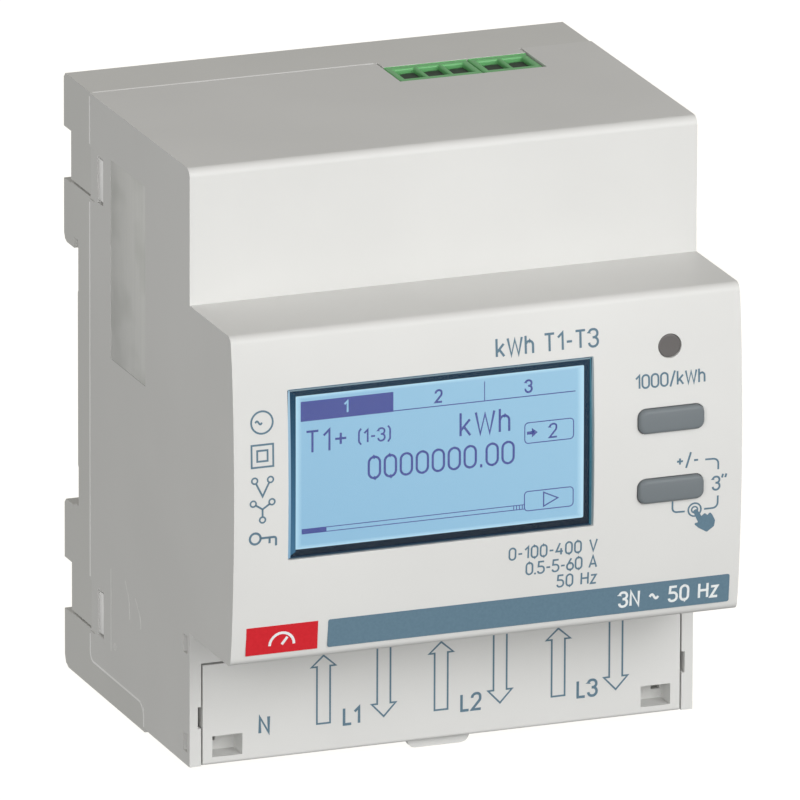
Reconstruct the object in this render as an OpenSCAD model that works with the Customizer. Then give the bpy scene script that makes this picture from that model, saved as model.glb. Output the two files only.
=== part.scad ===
// Three-phase energy meter for a 35 mm mounting rail, four modules wide.
// Origin: centre of the rail seat. +Z is up, the display faces -Y and the rail lies behind, at +Y.

/* [Body] */
// Width of the front case
body_w = 71.2; // [71.2:0.1:72]
// Height of the front case above and below the rail centre, counted once
half_h = 41; // [41:0.1:42]
// Height of the raised front nose that passes through a panel cut-out
nose_h = 45; // [45:0.1:45.2]
// Distance from the rail seat forward to the two shoulders
shoulder_d = 43.3; // [43.3:0.1:44]
// Distance from the rail seat forward to the top and bottom edges of the nose
nose_d = 58.7; // [58.7:0.1:59.5]
// How far the middle of the nose bulges past its edges
bulge = 1.25; // [0.8:0.05:1.4]
// Wall thickness of the mouldings
wall = 1.6; // [1.5:0.05:1.7]

/* [Rail mount] */
// Height of the rail slot in the back of the base
rail_slot_h = 35.5; // [35.3:0.1:35.7]
// Depth of the rail slot, from the rear pads to the seat
rail_slot_d = 5.3; // [5:0.1:5.5]
// How far the lower clip slides down to let go of the rail
clip_travel = 4; // [3:0.5:4]

/* [Terminals] */
// Distance between neighbouring power terminals
terminal_pitch = 8.25; // [8.2:0.05:8.3]
// Travel of a clamp cage from open to closed
cage_travel = 4.8; // [4:0.2:4.8]
// Outer radius of the terminal screw's thread
screw_r = 2.4; // [2.2:0.05:2.4]

/* [Front panel] */
// Width of the display window
window_w = 42.7; // [41:0.1:42.8]
// Height of the display window
window_h = 23.05; // [22:0.05:23.1]
// Width of a push button's cap
button_w = 9.2; // [8.8:0.1:9.3]
// Height of a push button's cap
button_h = 3.3; // [3:0.1:3.4]
// Radius of the pulse light's lens
pulse_r = 1.6; // [1.4:0.05:1.65]

/* [Hidden] */
$fn = 48;
corner_fn = 6;           // facets in a small rounded corner
gap = 0.1;               // clearance between parts that only sit in each other

body_x = body_w / 2;
base_x = body_x - 0.2;
case_in_x = body_x - wall;
base_in_x = base_x - wall;
nose_z = nose_h / 2;
parting_y = -5.2;        // where the base ends and the front case begins
case_bottom = -half_h;
tray_bottom = case_bottom - 0.6;
tray_front = -25.7;      // the base runs on under the case as far as this
tray_top = case_bottom + 3.3;
edge_r = 1.2;            // rounding of the long front edges
nose_in_y = -nose_d + wall;
shoulder_in_y = -shoulder_d + wall;

// Cut-outs and pads in the back of the base
notch_lo = 26.4;
notch_hi = 33.6;
notch_y = 2.5;
slot_z = rail_slot_h / 2;
seat_pad_z = 12;         // half height of the raised seat the rail bears on

// Cover over the power terminals
cover_x = 33.75;
cover_top = -27.1;
cover_front = -shoulder_d;
cover_back = cover_front + 1.5;
seal_x = 30.3;           // middle of a sealing window
seal_z = case_bottom + 2.5;
pocket_back = -39.3;

// Terminal block and what is in each chamber
terminal_names = ["n", "l1_in", "l1_out", "l2_in", "l2_out", "l3_in", "l3_out"];
terminal_count = len(terminal_names);
function terminal_x(i) = (i - (terminal_count - 1) / 2) * terminal_pitch;
block_x = 29;
block_end_x = 33.6;      // the block's ends stand further back, behind the cover's arms
block_step = -39;
block_front = -41.6;
block_back = -23;
block_top = -27.2;
chamber_x = 3.5;
screw_z = -34.8;
screw_head_r = 2.95;
head_front = -41.4;
head_back = -39.4;
plate_front = -32.4;
plate_back = -31.2;
cage_in_x = 2.5;
cage_x = 3.3;
cage_bottom = -38.6;
cage_top = -31;
cage_front = -34.1;
cage_back = -24.6;
strap_bottom = -29.6;
strap_top = -28.4;
bridge_front = -14;
bridge_back = -11;
ct_r = 5.8;
ct_front = -21.6;
ct_back = -15.6;

// Display, buttons and boards inside the nose
window_x = -6.65;
window_z = 3.3;
lit_w = 40.4;
lit_h = 20.9;
lens_back = -nose_d - 0.45;
panel_x = 25.5;          // centre line of the buttons and of the pulse light
button_z = [5.3, -4.3];
pulse_z = 15.15;
button_front = -nose_d - bulge - 0.75;
button_travel = 0.6;
board_t = 1.6;
display_board_y = -50.8; // front face of the display board
power_board_y = -34;
meter_board_y = -16.1;
boss_x = 31.2;
boss_z = 18.3;
spacer_x = 30;
spacer_z = [34, -18.5];

// Signal connectors in the top
notch_x0 = 4.8;
notch_x1 = 25.6;
notch_front = -14.5;
header_back = -7.5;
header_front = -14.4;
header_top = half_h - 0.1;
header_bottom = 31.4;
header_pitch = 3.5;
header3_x = 11;
header2_x = 21.2;

NODES = [
    "rear_base", "main_case", "display_window", "display_bezel", "lcd_glass", "backlight", "lcd_frame",
    "display_board", "display_chips", "pulse_light_pipe", "pulse_led", "tact_switches", "power_board",
    "power_transformer", "power_capacitors", "metering_board", "metering_chips", "board_links",
    "board_spacers", "board_screws", "current_sensor_l1", "current_sensor_l2", "current_sensor_l3", "busbar_l1",
    "busbar_l2", "busbar_l3", "neutral_strap", "terminal_block", "signal_header_3way",
    "signal_header_2way", "header_pins", "side_window", "button_upper", "button_lower",
    "switch_plunger_upper", "switch_plunger_lower", "rail_clip", "rail_clip_spring", "terminal_cover",
    "screw_n", "screw_l1_in", "screw_l1_out", "screw_l2_in", "screw_l2_out", "screw_l3_in", "screw_l3_out",
    "clamp_n", "clamp_l1_in", "clamp_l1_out", "clamp_l2_in", "clamp_l2_out", "clamp_l3_in", "clamp_l3_out"];
node = "all";

function shown(name) = node == "all" || node == name;

// ---- Helpers --------------------------------------------------------------

// A box between two opposite corners
module span(low, high) {
    translate(low) cube([for (i = [0:2]) high[i] - low[i]]);
}

// A profile drawn in (y, z) and extruded from x0 to x1
module along_x(x0, x1) {
    translate([x0, 0, 0]) rotate([90, 0, 90]) linear_extrude(x1 - x0) children();
}

// A profile drawn in (x, z) and extruded from y0 back to y1
module along_y(y0, y1) {
    translate([0, y1, 0]) rotate([90, 0, 0]) linear_extrude(y1 - y0) children();
}

// Points of an arc
function arc(cx, cy, r, a0, a1, n) =
    [for (i = [0:n]) [cx + r * cos(a0 + (a1 - a0) * i / n), cy + r * sin(a0 + (a1 - a0) * i / n)]];

// Outline of a rectangle of half sizes a and b with rounded corners
function rounded(a, b, r) = concat(
    arc(a - r, b - r, r, 0, 90, corner_fn), arc(r - a, b - r, r, 90, 180, corner_fn),
    arc(r - a, r - b, r, 180, 270, corner_fn), arc(a - r, r - b, r, 270, 360, corner_fn));

module round_block(x, z, w, h, r, y0, y1) {
    along_y(y0, y1) translate([x, z]) polygon(rounded(w / 2, h / 2, r));
}

// A cylinder along Y
module rod(x, z, r, y0, y1) {
    translate([x, y0, z]) rotate([-90, 0, 0]) cylinder(r = r, h = y1 - y0);
}

// Front surface of the nose at height z
function nose_y(z) = -nose_d - bulge * (1 - pow(z / nose_z, 2));

module mirrored_x() {
    children();
    mirror([1, 0, 0]) children();
}

// ---- Housing --------------------------------------------------------------

nose_steps = 16;

function case_outline() = concat(
    [[parting_y, half_h]],
    arc(-shoulder_d + edge_r, half_h - edge_r, edge_r, 90, 180, corner_fn),
    [[-shoulder_d, nose_z]],
    arc(-nose_d + edge_r, nose_z - edge_r, edge_r, 90, 180, corner_fn),
    [for (i = [1:nose_steps - 1]) let (z = (nose_z - edge_r) * (1 - 2 * i / nose_steps)) [nose_y(z), z]],
    arc(-nose_d + edge_r, edge_r - nose_z, edge_r, 180, 270, corner_fn),
    [[-shoulder_d, -nose_z], [-shoulder_d, case_bottom], [parting_y, case_bottom]]);

case_inside = [
    [parting_y + 1, half_h - wall], [shoulder_in_y, half_h - wall], [shoulder_in_y, nose_z - wall],
    [nose_in_y, nose_z - wall], [nose_in_y, wall - nose_z], [shoulder_in_y, wall - nose_z],
    [shoulder_in_y, cover_top + 0.3], [-shoulder_d - 1, cover_top + 0.3],
    [-shoulder_d - 1, case_bottom - 1], [parting_y + 1, case_bottom - 1]];

// Screw pillars that carry the display board
module case_pillars() {
    for (sx = [-1, 1], sz = [-1, 1])
        difference() {
            rod(sx * boss_x, sz * boss_z, 1.9, nose_in_y, display_board_y);
            rod(sx * boss_x, sz * boss_z, 0.9, nose_in_y + 1, display_board_y + 1);
        }
}

module side_cuts() {
    // rebate, latch window and cover slots of one side wall
    for (z0 = [notch_lo, -notch_hi]) {
        span([base_x, -7, z0], [body_x + 1, parting_y + 1, z0 + notch_hi - notch_lo]);
        span([case_in_x - 1, -10.4, z0 + 0.4], [body_x + 1, -8.3, z0 + 6.8]);
    }
    for (z0 = [-25.4, -39])
        span([body_x - 1.2, -42.4, z0 - 0.2], [body_x + 1, -40.9, z0 + 2.3]);
    span([cover_x, -shoulder_d - 1, -35.8], [cover_x + 0.7, -shoulder_d + 2, -32.8]);
    // the base closes this corner
    along_x(case_in_x - 1, body_x + 1)
        polygon(concat([[parting_y + 1, case_bottom - 1], [parting_y + 1, tray_top + gap]],
            arc(tray_front + edge_r - gap, tray_top - edge_r + gap, edge_r, 90, 180, corner_fn),
            [[tray_front - gap, case_bottom - 1]]));
}

module main_case() color("gainsboro") {
    difference() {
        union() {
            difference() {
                along_x(-body_x, body_x) polygon(case_outline());
                along_x(-case_in_x, case_in_x) polygon(case_inside);
            }
            case_pillars();
        }
        mirrored_x() side_cuts();
        round_block(window_x, window_z, window_w + 0.1, window_h + 0.1, 0.2, -nose_d - 5, nose_in_y + 1);
        for (z = button_z)
            round_block(panel_x, z, button_w + 0.2, button_h + 0.2, 1.2, -nose_d - 5, nose_in_y + 1);
        rod(panel_x, pulse_z, pulse_r + 0.05, -nose_d - 5, nose_in_y + 1);
        span([notch_x0, notch_front, half_h - wall - 1], [notch_x1, parting_y + 1, half_h + 1]);
        // shallow seat for the side window, on the left only
        span([-body_x - 1, -26.5, 6.6], [-body_x + 0.4, -13.3, 34]);
    }
}

floor_y = -0.2;          // slot floor above and below the raised seat

function base_outline() = [
    [parting_y, half_h], [rail_slot_d - 0.6, half_h], [rail_slot_d, half_h - 0.6],
    [rail_slot_d, notch_hi], [notch_y, notch_hi], [notch_y, notch_lo], [rail_slot_d, notch_lo],
    [rail_slot_d, slot_z + 1.1], [rail_slot_d - 0.4, slot_z + 0.3], [rail_slot_d - 1.1, slot_z],
    [1.3, slot_z], [1.3, slot_z + 1.5], [floor_y, slot_z + 1.5],
    [floor_y, seat_pad_z + 0.3], [0, seat_pad_z], [0, -seat_pad_z], [floor_y, -seat_pad_z - 0.3],
    [floor_y, -slot_z], [1.3, -slot_z], [1.6, -slot_z - 0.4], [rail_slot_d - 0.6, -slot_z - 0.4],
    [rail_slot_d, -slot_z - 1],
    [rail_slot_d, -notch_lo], [notch_y, -notch_lo], [notch_y, -notch_hi], [rail_slot_d, -notch_hi],
    [rail_slot_d, tray_bottom + 1.5], [rail_slot_d - 0.45, tray_bottom + 0.45], [rail_slot_d - 1.5, tray_bottom],
    [parting_y, tray_bottom]];

base_inside = [
    [parting_y - 1, half_h - wall], [3.5, half_h - wall], [3.5, notch_hi + wall], [notch_y - wall, notch_hi + wall],
    [notch_y - wall, notch_lo - wall], [3.5, notch_lo - wall], [3.5, slot_z + 3.3], [floor_y - wall, slot_z + 3.3],
    [floor_y - wall, -slot_z - wall], [floor_y - wall, tray_bottom + wall], [parting_y - 1, tray_bottom + wall]];

clip_x = 7;
clip_wing_x = 8.6;
clip_front = 0.3;
clip_mid = 1.9;

// Sliding channel of the rail clip, open to the back and at the bottom
module clip_channel() {
    span([-clip_x - 0.2, clip_mid - 0.1, tray_bottom - 1], [clip_x + 0.2, rail_slot_d + 1, -slot_z + 1]);
    span([-clip_wing_x - 0.2, clip_front - 0.2, tray_bottom - 1], [clip_wing_x + 0.2, clip_mid + 0.2, -slot_z + 1]);
}

// The base's floor under the case, with the two low side wings
module base_tray() {
    span([-base_x, tray_front, tray_bottom], [base_x, parting_y, tray_bottom + wall]);
    mirrored_x() along_x(base_x - 1.3, base_x)
        polygon(concat([[parting_y, tray_bottom], [parting_y, tray_top]],
            arc(tray_front + edge_r, tray_top - edge_r, edge_r, 90, 180, corner_fn),
            [[tray_front, tray_bottom]]));
}

// Latch arm that snaps into the side window of the case
module base_latch(z0) {
    span([base_in_x - 0.9, -10.3, z0 + 0.8], [case_in_x - gap, parting_y + 0.5, z0 + 6.4]);
    translate([0, 0, z0 + 0.8]) linear_extrude(5.6)
        polygon([[case_in_x - gap - 0.3, -10.3], [case_in_x - gap, -10.3], [base_x - 0.1, -8.9],
            [base_x - 0.1, -8.4], [case_in_x - gap - 0.3, -8.4]]);
}

module rear_base() color("silver") {
    difference() {
        union() {
            difference() {
                along_x(-base_x, base_x) polygon(base_outline());
                along_x(-base_in_x, base_in_x) polygon(base_inside);
            }
            base_tray();
            mirrored_x() for (z0 = [notch_lo, -notch_hi]) base_latch(z0);
            span([notch_x0 + 0.3, header_back + gap, half_h - wall], [notch_x1 - 0.3, parting_y, half_h]);
            span([notch_x0 + 0.3, header_back + gap + 0.6, half_h - 2 * wall], [notch_x1 - 0.3, parting_y + 1, half_h - wall]);
        }
        clip_channel();
        mirrored_x() for (z = [notch_lo + 0.2, -notch_hi + 0.2])
            span([base_x - 0.6, -5, z], [base_x + 1, notch_y + 1, z + 0.35]);
    }
    span([-1.6, floor_y - 0.2, peg_bottom], [1.6, rail_slot_d - 0.6, spring_bottom]);
    for (sx = [-1, 1], z = spacer_z) rod(sx * spacer_x, z, 2.2, meter_board_y + board_t, floor_y - wall + 0.1);
}

// ---- Rail clip ------------------------------------------------------------

spring_r = 1.5;
spring_wire_r = 0.25;
spring_y = 3.2;
spring_bottom = -36;
spring_top = -25;
spring_turns = 7;
peg_bottom = -39;        // peg of the base that the spring stands on

module rail_clip() color("white") {
    difference() {
        union() {
            span([-clip_x, clip_mid, tray_bottom], [clip_x, rail_slot_d - 0.3, -slot_z - 0.2]);
            span([-clip_wing_x, clip_front, tray_bottom + clip_travel], [clip_wing_x, clip_mid, -slot_z - 0.9]);
            // nose that grips behind the rail's lower flange
            along_x(-clip_x, clip_x)
                polygon([[1.2, -slot_z - 1], [1.2, -slot_z + 1.7], [2.1, -slot_z + 1.9], [rail_slot_d - 0.4, -slot_z],
                    [rail_slot_d - 0.3, -slot_z - 1]]);
        }
        // pocket for the spring, and room for the base's peg as the clip slides down over it
        span([-2, spring_y - 1.7, peg_bottom - 0.3], [2, rail_slot_d, spring_top]);
        span([-2, clip_front - 1, peg_bottom - 0.3], [2, spring_y, spring_bottom + clip_travel + 0.3]);
        // screwdriver slot in the foot of the clip
        span([3, clip_mid + 0.8, tray_bottom - 1], [6, rail_slot_d + 1, tray_bottom + 2]);
        span([-6, clip_mid + 0.8, tray_bottom - 1], [-3, rail_slot_d + 1, tray_bottom + 2]);
    }
}

function helix(turns, r, z0, z1, steps) =
    [for (i = [0:turns * steps]) [r * cos(360 * i / steps), r * sin(360 * i / steps), z0 + (z1 - z0) * i / (turns * steps)]];

// Wire of the spring: one closed tube swept along a helix
module spring_wire(path, r, sides) {
    n = len(path);
    points = [for (i = [0:n - 1]) let (a = atan2(path[i][1], path[i][0])) for (j = [0:sides - 1])
        let (u = r * cos(360 * j / sides), v = r * sin(360 * j / sides))
        [path[i][0] + u * cos(a), path[i][1] + u * sin(a), path[i][2] + v]];
    faces = concat([[for (j = [0:sides - 1]) j]],
        [for (i = [0:n - 2], j = [0:sides - 1]) let (k = (j + 1) % sides)
            [i * sides + j, (i + 1) * sides + j, (i + 1) * sides + k, i * sides + k]],
        [[for (j = [0:sides - 1]) n * sides - 1 - j]]);
    polyhedron(points, faces);
}

module rail_clip_spring() color("lightgray")
    translate([0, spring_y, 0])
        spring_wire(helix(spring_turns, spring_r - spring_wire_r, spring_bottom + spring_wire_r,
            spring_top - spring_wire_r, 10), spring_wire_r, 6);

// ---- Display and buttons --------------------------------------------------

module display_window() color("lightsteelblue", 0.5)
    intersection() {
        along_x(window_x - window_w / 2, window_x + window_w / 2)
            polygon(concat([[lens_back, -nose_z], [lens_back, nose_z]],
                [for (i = [0:nose_steps]) let (z = nose_z * (1 - 2 * i / nose_steps)) [nose_y(z) - 0.15, z]]));
        round_block(window_x, window_z, window_w, window_h, 0.2, -nose_d - 5, nose_in_y);
    }

module frame_ring(w, h, in_w, in_h, y0, y1) {
    difference() {
        round_block(window_x, window_z, w, h, 0.2, y0, y1);
        round_block(window_x, window_z, in_w, in_h, 0.2, y0 - 1, y1 + 1);
    }
}

bezel_back = lens_back + 0.15;
lcd_back = bezel_back + 2;
backlight_back = lcd_back + 2.4;

module display_bezel() color("midnightblue")
    frame_ring(window_w - 0.2, window_h - 0.2, lit_w, lit_h, lens_back, bezel_back);

module lcd_glass() color("lightskyblue")
    round_block(window_x, window_z, lit_w + 1.2, lit_h + 1.2, 0.3, bezel_back, lcd_back);

module backlight() color("aliceblue")
    round_block(window_x, window_z, lit_w + 1.2, lit_h + 1.2, 0.3, lcd_back, backlight_back);

module lcd_frame() color("white")
    frame_ring(lit_w + 4.9, lit_h + 4.9, lit_w + 1.4, lit_h + 1.4, nose_in_y + gap, display_board_y);

module display_board() color("darkgreen")
    difference() {
        span([-33.4, display_board_y, -20.4], [33.4, display_board_y + board_t, 20.4]);
        for (sx = [-1, 1], sz = [-1, 1]) rod(sx * boss_x, sz * boss_z, 1.1, display_board_y - 1, display_board_y + board_t + 1);
    }

module display_chips() color("dimgray") {
    back = display_board_y + board_t;
    span([-12, back, -7], [0, back + 1.4, 5]);
    span([8, back, 6], [14, back + 1.2, 11]);
    for (x = [6:4:22]) span([x, back, -14], [x + 2, back + 0.9, -12.8]);
}

module pulse_light_pipe() color("gray") {
    rod(panel_x, pulse_z, pulse_r, nose_y(pulse_z) + 0.1, nose_in_y);
    rod(panel_x, pulse_z, pulse_r + 0.8, nose_in_y, nose_in_y + 1);
    rod(panel_x, pulse_z, 1.2, nose_in_y + 1, display_board_y - 2.2);
}

module pulse_led() color("mistyrose")
    span([panel_x - 1.6, display_board_y - 2, pulse_z - 1.3], [panel_x + 1.6, display_board_y, pulse_z + 1.3]);

switch_front = display_board_y - 3.1;
plunger_front = switch_front - 1;

module tact_switches() color("black")
    for (z = button_z)
        difference() {
            span([panel_x - 3, switch_front, z - 3], [panel_x + 3, display_board_y, z + 3]);
            rod(panel_x, z, 1.75, switch_front - 1, switch_front + 1.6);
        }

module switch_plunger(z) color("darkred")
    rod(panel_x, z, 1.7, plunger_front, switch_front + 0.8);

module button(z) color("slategray") {
    round_block(panel_x, z, button_w, button_h, 1.1, button_front, nose_in_y);
    round_block(panel_x, z, button_w + 1.6, button_h + 1.6, 1.4, nose_in_y + gap, nose_in_y + 1);
    span([panel_x - 2, nose_in_y - 0.5, z - 1.4], [panel_x + 2, plunger_front, z + 1.4]);
}

module side_window() color("darkgray")
    span([-body_x + 0.1, -26.4, 6.7], [-body_x + 0.4, -13.4, 33.9]);

// ---- Boards and what they carry -------------------------------------------

module power_board() color("darkgreen")
    span([-33, power_board_y, -20], [33, power_board_y + board_t, 38.4]);

module power_transformer() color("goldenrod") {
    back = power_board_y + board_t;
    span([-27, back, 14], [-8, back + 12.4, 34]);
    span([-24, back + 12.4, 11 + 4], [-11, back + 13.4, 33]);
}

module power_capacitors() color("darkslateblue") {
    for (x = [-2, 9])
        rod(x, 26, 4.5, power_board_y + board_t, power_board_y + board_t + 12.5);
    rod(20, 28, 3.5, power_board_y + board_t, power_board_y + board_t + 11);
}

module metering_board() color("darkgreen")
    span([-33, meter_board_y, -21.5], [33, meter_board_y + board_t, 38.4]);

module metering_chips() color("dimgray") {
    back = meter_board_y + board_t;
    span([-14, back, -6], [-4, back + 1.5, 4]);
    span([4, back, -8], [12, back + 1.5, 2]);
    for (x = [-24:9:10]) span([x, back, 10], [x + 6, back + 3.4, 19]);
    for (x = [16:5:26]) span([x, back, -14], [x + 3, back + 1.2, -8]);
}

// Two stacks of header pins that join the three boards
module board_links() color("black") {
    span([-30, display_board_y + board_t, -16], [-20, power_board_y, -11]);
    span([14, power_board_y + board_t, -16], [26, meter_board_y, -11]);
}

// Nylon pillars between the two large boards
module board_spacers() color("ivory")
    for (sx = [-1, 1], z = spacer_z)
        rod(sx * spacer_x, z, 2.2, power_board_y + board_t, meter_board_y);

module board_screws() color("silver")
    for (sx = [-1, 1], sz = [-1, 1]) {
        rod(sx * boss_x, sz * boss_z, 1.8, display_board_y + board_t, display_board_y + board_t + 1.4);
        rod(sx * boss_x, sz * boss_z, 0.85, nose_in_y + 1.2, display_board_y + board_t);
    }

// ---- Current path ---------------------------------------------------------

module current_sensor(i) color("saddlebrown")
    difference() {
        rod(terminal_x(i), (strap_bottom + strap_top) / 2, ct_r, ct_front, ct_back);
        rod(terminal_x(i), (strap_bottom + strap_top) / 2, 2.5, ct_front - 1, ct_back + 1);
    }

// Contact plate inside a cage and the strap that leaves over the block's back wall
module contact(i, back_end) {
    x = terminal_x(i);
    span([x - 2.3, plate_front, -38.4], [x + 2.3, plate_back, strap_top]);
    span([x - 2, plate_back, strap_bottom], [x + 2, back_end, strap_top]);
}

module busbar(i) color("peru") {
    contact(i, bridge_back);
    contact(i + 1, bridge_back);
    span([terminal_x(i) - 2, bridge_front, strap_bottom], [terminal_x(i + 1) + 2, bridge_back, strap_top]);
}

module neutral_strap() color("peru") {
    contact(0, meter_board_y);
    span([terminal_x(0) - 2, meter_board_y - 1.2, strap_top], [terminal_x(0) + 2, meter_board_y, -19]);
}

// ---- Power terminals ------------------------------------------------------

module chamber_cuts(i) {
    x = terminal_x(i);
    span([x - chamber_x, head_back - 0.1, -39.6], [x + chamber_x, block_back - 1.2, block_top + 1]);
    rod(x, screw_z, screw_head_r + 0.2, block_front - 1, head_back);
    span([x - 3.1, -32.7, case_bottom - 1], [x + 3.1, -26, -39]);
    span([x - 2.3, block_back - 2, strap_bottom - 0.5], [x + 2.3, block_back + 1, block_top + 1]);
}

module terminal_block() color("whitesmoke")
    difference() {
        union() {
            span([-block_x, block_front, case_bottom], [block_x, block_back, block_top]);
            span([-block_end_x, block_step, case_bottom], [block_end_x, block_back, block_top]);
        }
        for (i = [0:terminal_count - 1]) chamber_cuts(i);
        // step over the base's tray
        span([-block_end_x - 1, tray_front - 0.1, case_bottom - 1], [block_end_x + 1, block_back + 1, tray_bottom + wall + 0.1]);
        // room for the cover's pull tab and seal pockets
        span([-4.8, block_front - 1, case_bottom - 1], [4.8, -40.6, -39.3]);
        mirrored_x() span([27.4, block_front - 1, case_bottom - 1], [block_end_x + 1, block_step, -36]);
    }

// Cheese-head terminal screw with a combined cross and slot drive
module terminal_screw(i) color("lightsteelblue") {
    x = terminal_x(i);
    difference() {
        rod(x, screw_z, screw_head_r, head_front, head_back);
        span([x - 2.6, head_front - 1, screw_z - 0.45], [x + 2.6, head_front + 1.2, screw_z + 0.45]);
        span([x - 0.45, head_front - 1, screw_z - 1.7], [x + 0.45, head_front + 1.2, screw_z + 1.7]);
    }
    rod(x, screw_z, screw_r, head_back, plate_front - 0.1);
}

// Lift cage: a square tube around wire and contact plate, pulled forward by the screw
module clamp_cage(i) color("khaki") {
    x = terminal_x(i);
    difference() {
        span([x - cage_x, cage_front, cage_bottom], [x + cage_x, cage_back, cage_top]);
        span([x - cage_in_x, plate_front - 0.15, cage_bottom - 1], [x + cage_in_x, cage_back - 1, cage_top + 1]);
        rod(x, screw_z, screw_r + 0.08, cage_front - 1, plate_front);
    }
}

// One sealing pocket of the cover, with the hole for the seal wire
module seal_pocket() {
    difference() {
        span([seal_x - 2.6, cover_back - 0.1, seal_z - 2.2], [seal_x + 2.6, pocket_back, seal_z + 2.2]);
        span([seal_x - 2.1, cover_front - 1, seal_z - 1.45], [seal_x + 2.1, pocket_back - 0.8, seal_z + 1.45]);
        span([seal_x + 0.6, pocket_back - 1, seal_z - 0.2], [seal_x + 1.8, pocket_back + 1, seal_z + 1.4]);
    }
}

module terminal_cover() color("gainsboro") {
    difference() {
        along_x(-cover_x, cover_x)
            polygon(concat([[cover_back, case_bottom], [cover_back, cover_top], [cover_front, cover_top]],
                arc(cover_front + 0.5, case_bottom + 0.5, 0.5, 180, 270, corner_fn)));
        mirrored_x() span([seal_x - 2.1, cover_front - 1, seal_z - 1.45], [seal_x + 2.1, cover_back + 1, seal_z + 1.45]);
    }
    mirrored_x() {
        seal_pocket();
        span([cover_x - 1.2, cover_back, -35.5], [cover_x - 0.1, -39.4, cover_top - 0.5]);
    }
    // thin tab under the cover's lower edge
    along_y(cover_back, cover_back + 0.9)
        polygon(concat([[4.4, -39.6], [-4.4, -39.6]], arc(-4.4 + 1.2, -42.4 + 1.2, 1.2, 180, 270, corner_fn),
            arc(4.4 - 1.2, -42.4 + 1.2, 1.2, 270, 360, corner_fn)));
}

// ---- Signal connectors ----------------------------------------------------

module signal_header(x, ways) color("limegreen")
    difference() {
        span([x - ways * header_pitch / 2 - 0.65, header_front, header_bottom],
            [x + ways * header_pitch / 2 + 0.65, header_back, header_top]);
        for (i = [0:ways - 1]) let (cx = x + (i - (ways - 1) / 2) * header_pitch)
            span([cx - 1.45, header_front + 1.5, header_bottom + 2], [cx + 1.45, header_back - 1, header_top + 1]);
    }

module header_pins() color("gold")
    for (g = [[header3_x, 3], [header2_x, 2]], i = [0:g[1] - 1]) {
        cx = g[0] + (i - (g[1] - 1) / 2) * header_pitch;
        span([cx - 0.5, -11.2, header_bottom + 2], [cx + 0.5, -10.2, header_bottom + 7]);
    }

// ---- Assembly -------------------------------------------------------------

if (shown("rear_base")) rear_base();
if (shown("main_case")) main_case();
if (shown("display_window")) display_window();
if (shown("display_bezel")) display_bezel();
if (shown("lcd_glass")) lcd_glass();
if (shown("backlight")) backlight();
if (shown("lcd_frame")) lcd_frame();
if (shown("display_board")) display_board();
if (shown("display_chips")) display_chips();
if (shown("pulse_light_pipe")) pulse_light_pipe();
if (shown("pulse_led")) pulse_led();
if (shown("tact_switches")) tact_switches();
if (shown("power_board")) power_board();
if (shown("power_transformer")) power_transformer();
if (shown("power_capacitors")) power_capacitors();
if (shown("metering_board")) metering_board();
if (shown("metering_chips")) metering_chips();
if (shown("board_links")) board_links();
if (shown("board_spacers")) board_spacers();
if (shown("board_screws")) board_screws();
for (p = [1:3]) {
    if (shown(str("current_sensor_l", p))) current_sensor(2 * p - 1);
    if (shown(str("busbar_l", p))) busbar(2 * p - 1);
}
if (shown("neutral_strap")) neutral_strap();
if (shown("terminal_block")) terminal_block();
if (shown("signal_header_3way")) signal_header(header3_x, 3);
if (shown("signal_header_2way")) signal_header(header2_x, 2);
if (shown("header_pins")) header_pins();
if (shown("side_window")) side_window();
if (shown("button_upper")) button(button_z[0]);
if (shown("button_lower")) button(button_z[1]);
if (shown("switch_plunger_upper")) switch_plunger(button_z[0]);
if (shown("switch_plunger_lower")) switch_plunger(button_z[1]);
if (shown("rail_clip")) rail_clip();
if (shown("rail_clip_spring")) rail_clip_spring();
if (shown("terminal_cover")) terminal_cover();
for (i = [0:terminal_count - 1]) {
    if (shown(str("screw_", terminal_names[i]))) terminal_screw(i);
    if (shown(str("clamp_", terminal_names[i]))) clamp_cage(i);
}
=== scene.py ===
import math

import bmesh
import bpy
from mathutils import Matrix, Vector


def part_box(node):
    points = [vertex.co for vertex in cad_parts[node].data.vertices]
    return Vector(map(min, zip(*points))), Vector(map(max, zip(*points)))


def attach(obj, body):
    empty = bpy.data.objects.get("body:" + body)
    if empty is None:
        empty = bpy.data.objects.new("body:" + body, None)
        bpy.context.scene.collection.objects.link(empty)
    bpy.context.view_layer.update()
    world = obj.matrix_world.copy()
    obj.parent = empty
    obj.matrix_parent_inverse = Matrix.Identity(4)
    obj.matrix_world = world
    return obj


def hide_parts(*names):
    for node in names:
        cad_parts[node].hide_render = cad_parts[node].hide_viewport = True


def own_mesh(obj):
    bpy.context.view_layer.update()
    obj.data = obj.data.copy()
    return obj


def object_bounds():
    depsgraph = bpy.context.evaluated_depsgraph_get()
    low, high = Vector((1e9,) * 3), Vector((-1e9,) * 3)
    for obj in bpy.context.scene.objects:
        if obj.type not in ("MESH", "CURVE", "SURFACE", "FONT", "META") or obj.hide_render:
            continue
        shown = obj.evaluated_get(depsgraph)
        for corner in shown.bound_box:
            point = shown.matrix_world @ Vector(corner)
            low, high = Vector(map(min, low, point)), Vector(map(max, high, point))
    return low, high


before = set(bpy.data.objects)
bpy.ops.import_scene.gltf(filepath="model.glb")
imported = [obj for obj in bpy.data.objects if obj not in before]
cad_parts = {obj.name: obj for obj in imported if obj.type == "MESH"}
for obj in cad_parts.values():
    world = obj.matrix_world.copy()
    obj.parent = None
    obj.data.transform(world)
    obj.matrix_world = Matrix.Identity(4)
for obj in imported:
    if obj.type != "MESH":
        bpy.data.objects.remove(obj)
cad_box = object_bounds()

# ---- Studio ----------------------------------------------------------------
# A long lens looks down on the meter from its left. Light comes from two wide soft boxes at the
# front right and front left and from an even grey surround. The white table only shows behind
# the meter: it returns no light to it.


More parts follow.
